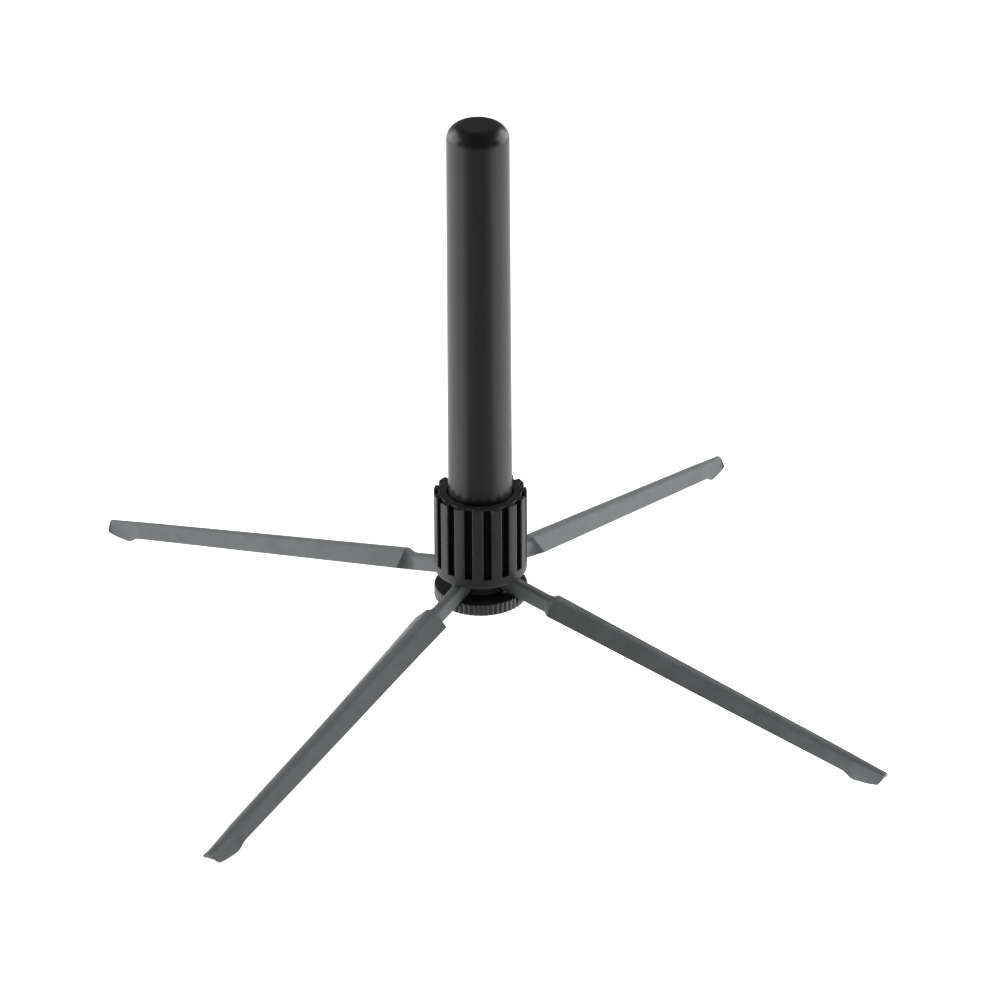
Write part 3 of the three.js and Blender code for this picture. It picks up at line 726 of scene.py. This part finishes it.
def channel_rings(x):
    """(stations, points, 2) outlines: half the outer skin, its mirror image, then the inner skins."""
    crown, edge, crown_half, edge_half, bend = channel(x)
    wing = np.column_stack([edge_half - crown_half, edge - crown])
    length = np.linalg.norm(wing, axis=1)
    turn = np.arctan2(-wing[:, 1], wing[:, 0])
    setback = np.minimum(bend * np.tan(turn / 2), np.minimum(0.6 * length, 0.9 * crown_half))
    radius = setback / np.tan(turn / 2)
    centre = np.column_stack([crown_half - setback, crown - radius])
    angles = turn[:, None] * np.linspace(1, 0, BEND_STEPS + 1)
    normals = np.stack([np.sin(angles), np.cos(angles)], axis=-1)
    outer = centre[:, None] + radius[:, None, None] * normals
    inner = centre[:, None] + (radius - SHEET)[:, None, None] * normals
    foot = np.column_stack([edge_half, edge])
    run = (outer[:, 0] - foot) / np.linalg.norm(outer[:, 0] - foot, axis=1)[:, None]
    inner_foot = foot - SHEET * normals[:, 0]
    inner_foot = inner_foot + run * ((edge - inner_foot[:, 1]) / run[:, 1])[:, None]
    across = (inner_foot - foot) / np.linalg.norm(inner_foot - foot, axis=1)[:, None]
    outside = corner_curve(foot + EDGE_ROUND * across, foot, foot + EDGE_ROUND * run)
    inside = corner_curve(inner_foot + EDGE_ROUND * run, inner_foot, inner_foot - EDGE_ROUND * across)
    part = np.array([0.03, 0.35, 0.65, 0.97])[None, :, None]
    outer_wing = outside[:, -1:] + part * (outer[:, :1] - outside[:, -1:])
    inner_wing = inner[:, :1] + part * (inside[:, :1] - inner[:, :1])
    half_out = np.concatenate([outside, outer_wing, outer], axis=1)
    half_in = np.concatenate([inner[:, ::-1], inner_wing, inside], axis=1)
    flip = np.array([-1, 1])
    rings = [half_out, half_out[:, ::-1] * flip, half_in[:, ::-1] * flip, half_in]
    bend_wear = 0.35 * np.sin(np.linspace(0, math.pi, BEND_STEPS + 1))
    wear_out = np.concatenate([np.ones(outside.shape[1]), np.zeros(4), bend_wear])
    wear_in = np.concatenate([np.zeros(BEND_STEPS + 1), np.zeros(4), np.ones(inside.shape[1])])
    wear = np.concatenate([wear_out, wear_out[::-1], wear_in[::-1], wear_in])
    return np.concatenate(rings, axis=1), crown, wear


# %% One leg, then all four
END_ROUND = 0.3 * MM


def leg_stations():
    """Distances from the axis, close together where the section changes quickly."""
    root = PIVOT_RADIUS - ROOT_RADIUS * np.cos(np.linspace(0.32, math.pi / 2, 12))
    shoulder = SHOULDER_RADIUS + SHOULDER_LENGTH * np.linspace(-1.2, 0.2, 41)
    length = np.linspace(SHOULDER_RADIUS + 2 * MM, ANKLE - 1 * MM, 12)
    heel = np.linspace(ANKLE, HEEL_END, 18)
    sole = np.linspace(HEEL_END + 1 * MM, LEG_REACH - TOE_LENGTH, 4)
    toe = np.linspace(LEG_REACH - TOE_LENGTH, LEG_REACH - TOE_ROUND, 7)[1:]
    corner = LEG_REACH - TOE_ROUND * (1 - np.sin(np.linspace(0, math.pi / 2, 9)))[1:-1]
    return np.concatenate([root, shoulder, length, heel, sole, toe, corner, [LEG_REACH - 0.02 * MM]])


def leg_rings():
    """The channel's rings in place along +X, with both cut ends rounded by closing in the outline."""
    x = leg_stations()
    flat, crown, wear = channel_rings(x)
    lean = TIP_LEAN * ramp(x, LEG_REACH - TOE_LENGTH, LEG_REACH)
    along = x[:, None] - lean[:, None] * (crown[:, None] - flat[:, :, 1])
    rings = np.stack([along, flat[:, :, 0], flat[:, :, 1]], axis=-1)
    ends = []
    for ring, step in ((rings[0], -1), (rings[-1], 1)):
        outline = ring[:, 1:]
        closed = []
        for a in np.linspace(0, math.pi / 2, 6)[1:]:
            moved = inward(outline, step_sign(outline) * END_ROUND * (1 - math.cos(a)))
            forward = step * END_ROUND * math.sin(a) - step * END_ROUND
            closed.append(np.column_stack([ring[:, 0] + forward, moved]))
        ends.append(closed)
    rings[0, :, 0] += END_ROUND
    rings[-1, :, 0] -= END_ROUND
    start = np.array(ends[0][::-1])
    stop = np.array(ends[1])
    rings = np.concatenate([start, rings, stop])
    return rings, np.concatenate([np.tile(np.maximum(wear, 0.8), len(start)), np.tile(wear, len(x)),
                                  np.tile(np.maximum(wear, 0.8), len(stop))])


def step_sign(outline):
    """1 for an outline that runs anticlockwise, -1 for the other way, from its signed area."""
    y, z = outline.T
    return 1.0 if (y * np.roll(z, -1) - z * np.roll(y, -1)).sum() > 0 else -1.0


def turned_by(rings, angle):
    """Rings turned about the upright axis."""
    c, s = math.cos(angle), math.sin(angle)
    return rings @ np.array([[c, s, 0], [-s, c, 0], [0, 0, 1]])


PIN_COLUMNS = 48


def across_the_hinge(profile, angle):
    """A turned profile laid along Y on the hinge of the leg at this angle, as (points, faces)."""
    lying = turned(profile, PIN_COLUMNS)[:, :, [0, 2, 1]] + [PIVOT_RADIUS, 0, PIVOT_HEIGHT]
    return skin(turned_by(lying, angle))


def punch(made, points, faces):
    """Cut a hole the shape of a closed shell, and keep its rim sharp as a punched hole's is."""
    mesh = bpy.data.meshes.new("punch")
    mesh.from_pydata(points.tolist(), [], faces)
    tool = bpy.data.objects.new("punch", mesh)
    bpy.context.scene.collection.objects.link(tool)
    cut = made.modifiers.new("hole", "BOOLEAN")
    cut.operation = "DIFFERENCE"
    cut.solver = "EXACT"
    cut.object = tool
    whole = made.data
    bpy.context.view_layer.update()
    made.data = bpy.data.meshes.new_from_object(made.evaluated_get(bpy.context.evaluated_depsgraph_get()))
    made.modifiers.clear()
    made.data.set_sharp_from_angle(angle=math.radians(60))
    bpy.data.objects.remove(tool)
    bpy.data.meshes.remove(mesh)
    bpy.data.meshes.remove(whole)


PIN_RADIUS = (high("hinge_pin_1")[0] - low("hinge_pin_1")[0]) / 2
PIN_HALF = high("hinge_pin_1")[1]
HOLE_RADIUS = PIN_RADIUS + GAP
hole = np.array([(POLE, -PIN_HALF), (HOLE_RADIUS, -PIN_HALF), (HOLE_RADIUS, PIN_HALF), (POLE, PIN_HALF)])
rings, marks = leg_rings()
for i, name in enumerate(LEGS):
    angle = i * TURN / len(LEGS)
    shell = skin(turned_by(rings, angle), fans=False)
    leg = piece(f"{name}_surface", [shell], f"folding_{name}", name, marks)
    leg.data.materials.append(LEG_PAINT)
    punch(leg, *across_the_hinge(hole, angle))
    print(leg.name, len(leg.data.polygons), "faces after the hinge hole is punched")

# %% [markdown]
# ## Pins, screw and washer
# The small steel pieces are turned parts, so each is a profile taken round its axis. The screw
# has a hexagon socket, which is a six-sided radius inside the head that turns into a circle
# at its rim.

# %% Hinge pins
PIN_CHAMFER = 0.3 * MM
pin_profile, pin_marks = rounded([
    (POLE, -PIN_HALF, 0),
    (PIN_RADIUS, -PIN_HALF, PIN_CHAMFER),
    (PIN_RADIUS, PIN_HALF, PIN_CHAMFER),
    (POLE, PIN_HALF, 0),
], steps=5)
for i in range(len(LEGS)):
    shell = across_the_hinge(pin_profile, i * TURN / len(LEGS))
    name = f"hinge_pin_{i + 1}"
    pin = piece(f"{name}_surface", [shell], "base", name, np.repeat(pin_marks, PIN_COLUMNS))
    pin.data.materials.append(STEEL)

# %% Centre screw and its washer
SOCKET_RADIUS = 1.7 * MM
SOCKET_DEPTH = 1.1 * MM
HEAD_HEIGHT = 1.7 * MM
SHANK_RADIUS = 1.9 * MM
SCREW_THREAD_DEPTH = 0.12 * MM
SCREW_PITCH = 0.7 * MM


def hexagon(angles, radius):
    """Distance to the side of a hexagon: radius cos 30 / cos(angle within its sixth)."""
    within = (angles + math.pi / 6) % (math.pi / 3) - math.pi / 6
    return radius * math.cos(math.pi / 6) / np.cos(within)


def screw_rings():
    """Socket floor, its six walls, the head and the threaded shank, as rings of 96 points."""
    bottom, top = low("centre_screw")[2], high("centre_screw")[2]
    head = high("centre_screw")[0]
    columns = 96
    angles = np.arange(columns) * TURN / columns
    shank = np.arange(bottom + HEAD_HEIGHT + 0.6 * MM, top - 0.8 * MM, SCREW_PITCH / 6)
    profile, marks = rounded([
        (SOCKET_RADIUS * 1.1, bottom, 0),
        (head, bottom, 0.5 * MM),
        (head, bottom + HEAD_HEIGHT, 0.15 * MM),
        (SHANK_RADIUS, bottom + HEAD_HEIGHT, 0.2 * MM),
        (SHANK_RADIUS, bottom + HEAD_HEIGHT + 0.5 * MM, 0),
    ], steps=4)
    threaded = np.column_stack([np.full(len(shank), SHANK_RADIUS), shank])
    end = np.array([(SHANK_RADIUS - 0.1 * MM, top - 0.5 * MM), (SHANK_RADIUS - 0.6 * MM, top), (POLE, top)])
    outside = np.vstack([profile, threaded, end])
    rings = turned(outside, columns)
    phase = TURN * rings[:, :, 2] / SCREW_PITCH - angles
    on_thread = ((rings[:, :, 2] > shank[0]) & (rings[:, :, 2] < shank[-1]))
    cut = on_thread * SCREW_THREAD_DEPTH / SHANK_RADIUS * (0.5 - 0.5 * np.cos(phase))
    rings[:, :, :2] *= (1 - cut)[:, :, None]
    socket = []
    floor, wall, mouth = SOCKET_DEPTH, SOCKET_DEPTH - 0.05 * MM, 0.1 * MM
    for height, scale in ((floor, 0.02), (floor, 0.97), (wall, 1.0), (mouth, 1.0), (0, 1.04)):
        r = hexagon(angles, SOCKET_RADIUS * scale)
        level = np.full(columns, bottom + height)
        socket.append(np.column_stack([r * np.cos(angles), r * np.sin(angles), level]))
    marks = np.concatenate([np.zeros(5), marks, np.zeros(len(shank) + 3)])
    return np.concatenate([np.array(socket), rings]), np.repeat(marks, columns)


rings, marks = screw_rings()
screw = piece("screw_surface", [skin(rings)], "base", "centre_screw", marks)
screw.data.materials.append(STEEL)

washer_low, washer_high = low("screw_washer"), high("screw_washer")
washer_hole = SHANK_RADIUS + GAP
washer_profile, washer_marks = rounded([
    (washer_hole, (washer_low[2] + washer_high[2]) / 2, 0),
    (washer_hole, washer_low[2], 0.15 * MM),
    (washer_high[0], washer_low[2], 0.2 * MM),
    (washer_high[0], washer_high[2], 0.2 * MM),
    (washer_hole, washer_high[2], 0.15 * MM),
    (washer_hole, (washer_low[2] + washer_high[2]) / 2 + 0.02 * MM, 0),
], steps=4)
rings = turned(washer_profile, 96)
shell = skin(rings, closed_path=True)
washer = piece("washer_surface", [shell], "base", "screw_washer", np.repeat(washer_marks, 96))
washer.data.materials.append(STEEL)

# %% [markdown]
# ## Camera
# A long lens from under two metres away keeps the peg's sides nearly parallel. The camera looks
# down on the stand, and one leg comes forward on each side of it.

# %% Place the camera
VIEW_AZIMUTH = math.radians(33.2)
VIEW_ELEVATION = math.radians(28.8)
VIEW_DISTANCE = 1.888
VIEW_TARGET = np.array([0.00635, 0.00415, 0.0675])
VIEW_ROLL = math.radians(-0.27)
LENS = 176.5


def place_camera():
    a, e = VIEW_AZIMUTH, VIEW_ELEVATION
    back = np.array([math.sin(a) * math.cos(e), -math.cos(a) * math.cos(e), math.sin(e)])
    level = np.array([math.cos(a), math.sin(a), 0])
    right = math.cos(VIEW_ROLL) * level + math.sin(VIEW_ROLL) * np.cross(back, level)
    up = np.cross(back, right)
    camera = bpy.data.objects.new("studio_camera", bpy.data.cameras.new("studio_camera"))
    camera.data.lens = LENS
    camera.data.sensor_width = 36
    camera.data.clip_start = 0.05
    camera.data.clip_end = 50
    camera.location = VIEW_TARGET + back * VIEW_DISTANCE
    camera.rotation_euler = Matrix(np.column_stack([right, up, back])).to_euler()
    bpy.context.scene.collection.objects.link(camera)
    bpy.context.scene.camera = camera
    return camera


camera = place_camera()
print("camera at", tuple(round(v, 3) for v in camera.location))

# %% [markdown]
# ## Floor
# Black plastic shows its shape by what it mirrors, and an upright tube seen from above mirrors
# the floor. The floor here is a pale table lit from within. It is more than three times as
# bright on both sides of the stand as in front of it, so the tube gets two pale stripes and a
# dark middle. The legs pick up the same light and look lighter for it too. The bright sides
# are placed for this one view.

# %% Floor
FRONT_GLOW = 0.97
SIDE_GLOW = 3.3
BACK_GLOW = 1.4
FRONT_EDGES = (math.radians(38), math.radians(56))
BACK_EDGES = (math.radians(160), math.radians(85))


def make_floor():
    """A flat floor whose glow follows the angle between a floor point and the camera's side."""
    span = 6.0
    corners = [(-span, -span, 0), (span, -span, 0), (span, span, 0), (-span, span, 0)]
    mesh = bpy.data.meshes.new("studio_floor")
    mesh.from_pydata(corners, [], [(0, 1, 2, 3)])
    floor = bpy.data.objects.new("studio_floor", mesh)
    bpy.context.scene.collection.objects.link(floor)
    material = bpy.data.materials.new("pale_floor")
    material.use_nodes = True
    tree = material.node_tree
    shader = tree.nodes["Principled BSDF"]
    place = node(tree, "ShaderNodeTexCoord").outputs["Object"]
    away = node(tree, "ShaderNodeVectorMath", {0: place}, operation="NORMALIZE").outputs[0]
    front = (math.sin(VIEW_AZIMUTH), -math.cos(VIEW_AZIMUTH), 0)
    facing = node(tree, "ShaderNodeVectorMath", {0: away, 1: front}, operation="DOT_PRODUCT").outputs["Value"]
    parts = []
    for edges, level in ((FRONT_EDGES, FRONT_GLOW), (BACK_EDGES, BACK_GLOW)):
        inputs = {"Value": facing, "From Min": math.cos(edges[0]), "From Max": math.cos(edges[1]),
                  "To Min": level, "To Max": SIDE_GLOW}
        parts.append(node(tree, "ShaderNodeMapRange", inputs, interpolation_type="SMOOTHSTEP").outputs[0])
    glow = node(tree, "ShaderNodeMath", {0: parts[0], 1: parts[1]}, operation="MINIMUM").outputs[0]
    tree.links.new(glow, shader.inputs["Emission Strength"])
    shader.inputs["Emission Color"].default_value = (1, 1, 1, 1)
    shader.inputs["Base Color"].default_value = (0.12, 0.12, 0.12, 1)
    shader.inputs["Roughness"].default_value = 1.0
    shader.inputs["Specular IOR Level"].default_value = 0.0
    mesh.materials.append(material)
    return floor


floor = make_floor()

# %% [markdown]
# ## Lights
# One large soft box stands on each side, a little behind the stand, so that the legs' flanks
# turned to it get a broad, even light. A faint grey sky fills in what the boxes don't reach.
# The sizes, places and powers were found by trial and have no other reason behind them.

# %% Lights
def soft_box(name, location, size, power):
    light = bpy.data.lights.new(name, "AREA")
    light.shape = "RECTANGLE"
    light.size, light.size_y = size
    light.energy = power
    lamp = bpy.data.objects.new(name, light)
    lamp.location = location
    direction = -np.array(location) + np.array([0, 0, 0.1])
    lamp.rotation_euler = Vector(direction).to_track_quat("-Z", "Y").to_euler()
    bpy.context.scene.collection.objects.link(lamp)
    return lamp


def sideways(right, forward, up):
    """Camera-wise right, away and up turned into the stand's own frame."""
    a = VIEW_AZIMUTH
    return (right * math.cos(a) - forward * math.sin(a), right * math.sin(a) + forward * math.cos(a), up)


soft_box("left_box", sideways(-1.3, 0.5, 0.6), (1.6, 1.2), 36)
soft_box("right_box", sideways(1.3, 0.6, 0.6), (1.6, 1.2), 36)
world = bpy.data.worlds.new("studio_world")
bpy.context.scene.world = world
world.use_nodes = True
world.node_tree.nodes["Background"].inputs["Color"].default_value = (1, 1, 1, 1)
world.node_tree.nodes["Background"].inputs["Strength"].default_value = 0.24
bpy.context.scene.view_settings.view_transform = "Standard"
